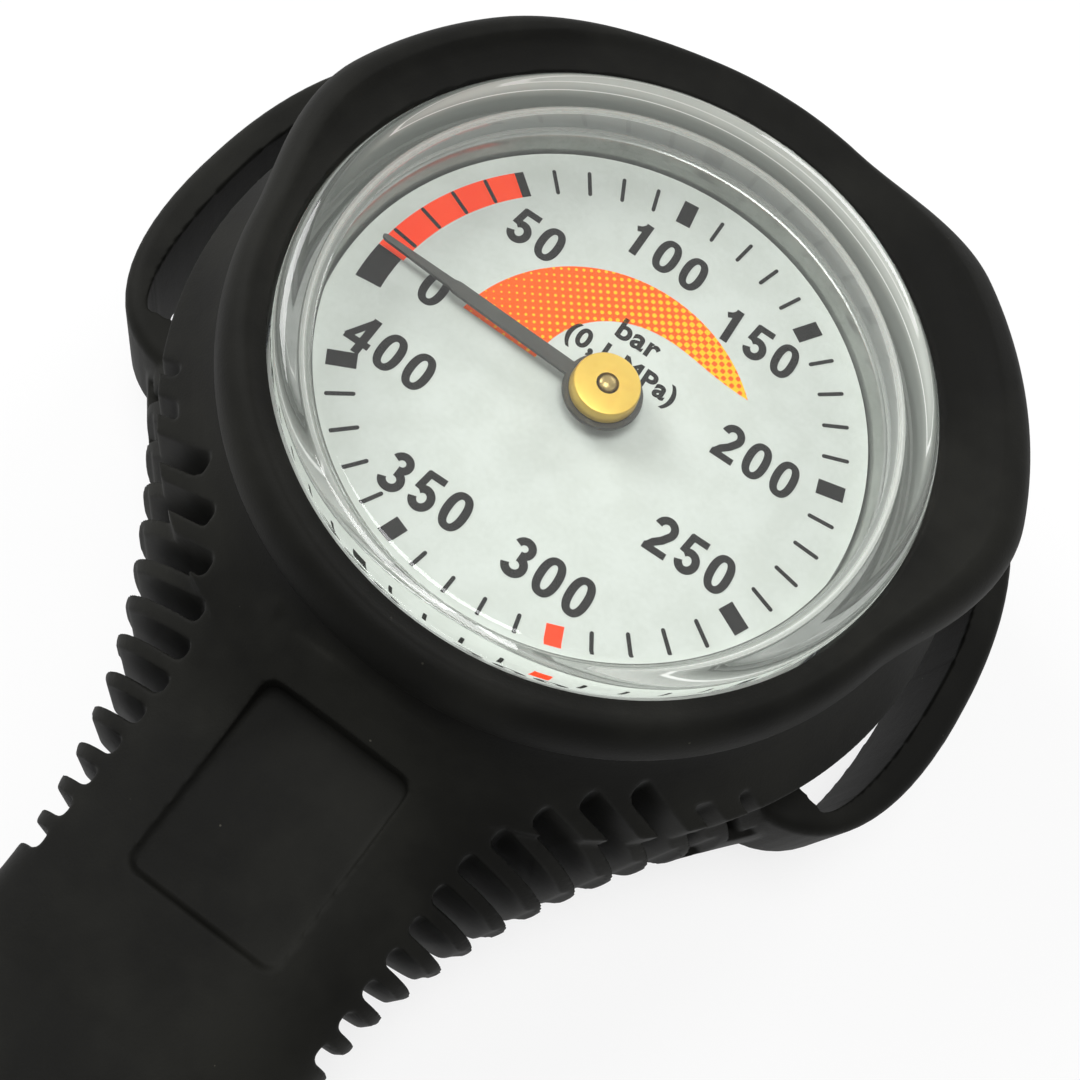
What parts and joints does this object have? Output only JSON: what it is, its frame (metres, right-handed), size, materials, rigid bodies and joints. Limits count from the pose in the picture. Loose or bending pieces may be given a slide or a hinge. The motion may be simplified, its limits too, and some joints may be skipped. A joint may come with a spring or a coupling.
{
  "type": "submersible pressure gauge",
  "caption": "Round diver's pressure gauge under a thick clear lens, in a moulded rubber boot with a tapered ribbed handle, side loops and a hose bore.",
  "frame": {"origin": "centre of the boot's flat back face, under the dial's axis", "axes": "+Z out of the dial towards the viewer, -Y along the handle towards the hose end, +X to the dial's right"},
  "size_m": [0.089, 0.135, 0.0384],
  "materials": {
    "boot_rubber": "matt black moulded rubber with a soft sheen and fine dust",
    "case_chrome": "chromed brass, polished",
    "lens_clear": "thick clear lens with polished rounded edges",
    "seal_rubber": "black seal rubber, slightly shiny",
    "ring_grey": "grey satin ring round the dial",
    "dial_print": "white printed dial with plain numbers, ticks, a red-orange band and an orange to yellow crescent",
    "pointer_paint": "dark olive-grey paint, pale along the cut edges",
    "brass": "machined brass with fine scratches",
    "bronze": "drawn bronze, satin",
    "steel": "turned stainless steel"
  },
  "bodies": {
    "gauge": {"boot": "boot_rubber", "case": "case_chrome", "relief_plug": "seal_rubber", "dial_ring": "ring_grey", "dial_plate": "dial_print", "lens": "lens_clear", "lens_o_ring": "seal_rubber", "lens_snap_ring": "steel", "inlet_stem": "brass", "stem_washer": "seal_rubber", "socket_block": "brass", "bourdon_tube": "bronze", "bottom_plate": "brass", "top_plate": "brass", "pillar_1": "brass", "pillar_2": "brass", "pillar_3": "brass", "pillar_4": "brass", "movement_screw_1": "steel", "movement_screw_2": "steel", "hairspring_stud": "brass", "hairspring": "bronze"},
    "pointer_set": {"pointer": "pointer_paint", "pointer_hub": "brass", "pointer_arbor": "steel", "pinion": "brass", "spring_collet": "brass"},
    "sector_set": {"sector_gear": "brass", "sector_arbor": "steel", "tail_pin": "steel"},
    "tube_tip_set": {"tube_tip": "brass", "tip_pin": "steel", "link": "steel"},
    "spool_set": {"air_spool": "steel", "spool_o_ring_1": "seal_rubber", "spool_o_ring_2": "seal_rubber"}
  },
  "joints": [
    {"name": "sector_swing", "type": "hinge", "parent": "gauge", "child": "sector_set", "pos_m": [0, -0.012, 0.0202], "axis": [0, 0, 1], "range_deg": [0, 47.14], "stiffness_Nm_per_rad": 0.001},
    {"name": "pointer_spin", "type": "hinge", "parent": "gauge", "child": "pointer_set", "pos_m": [0, 0, 0.0285], "axis": [0, 0, 1], "range_deg": [-330, 0], "deforming": ["hairspring"]},
    {"name": "tip_travel", "type": "slide", "parent": "gauge", "child": "tube_tip_set", "axis": [1, 0, 0], "range_m": [0, 0.004], "deforming": ["bourdon_tube"]},
    {"name": "spool_swivel", "type": "hinge", "parent": "gauge", "child": "spool_set", "pos_m": [0, -0.046, 0.0108], "axis": [0, 1, 0], "continuous": true}
  ],
  "couplings": [
    {"joint": "pointer_spin", "follows": "sector_swing", "ratio": -7},
    {"joint": "tip_travel", "follows": "sector_swing", "m_per_rad": 0.004861}
  ]
}
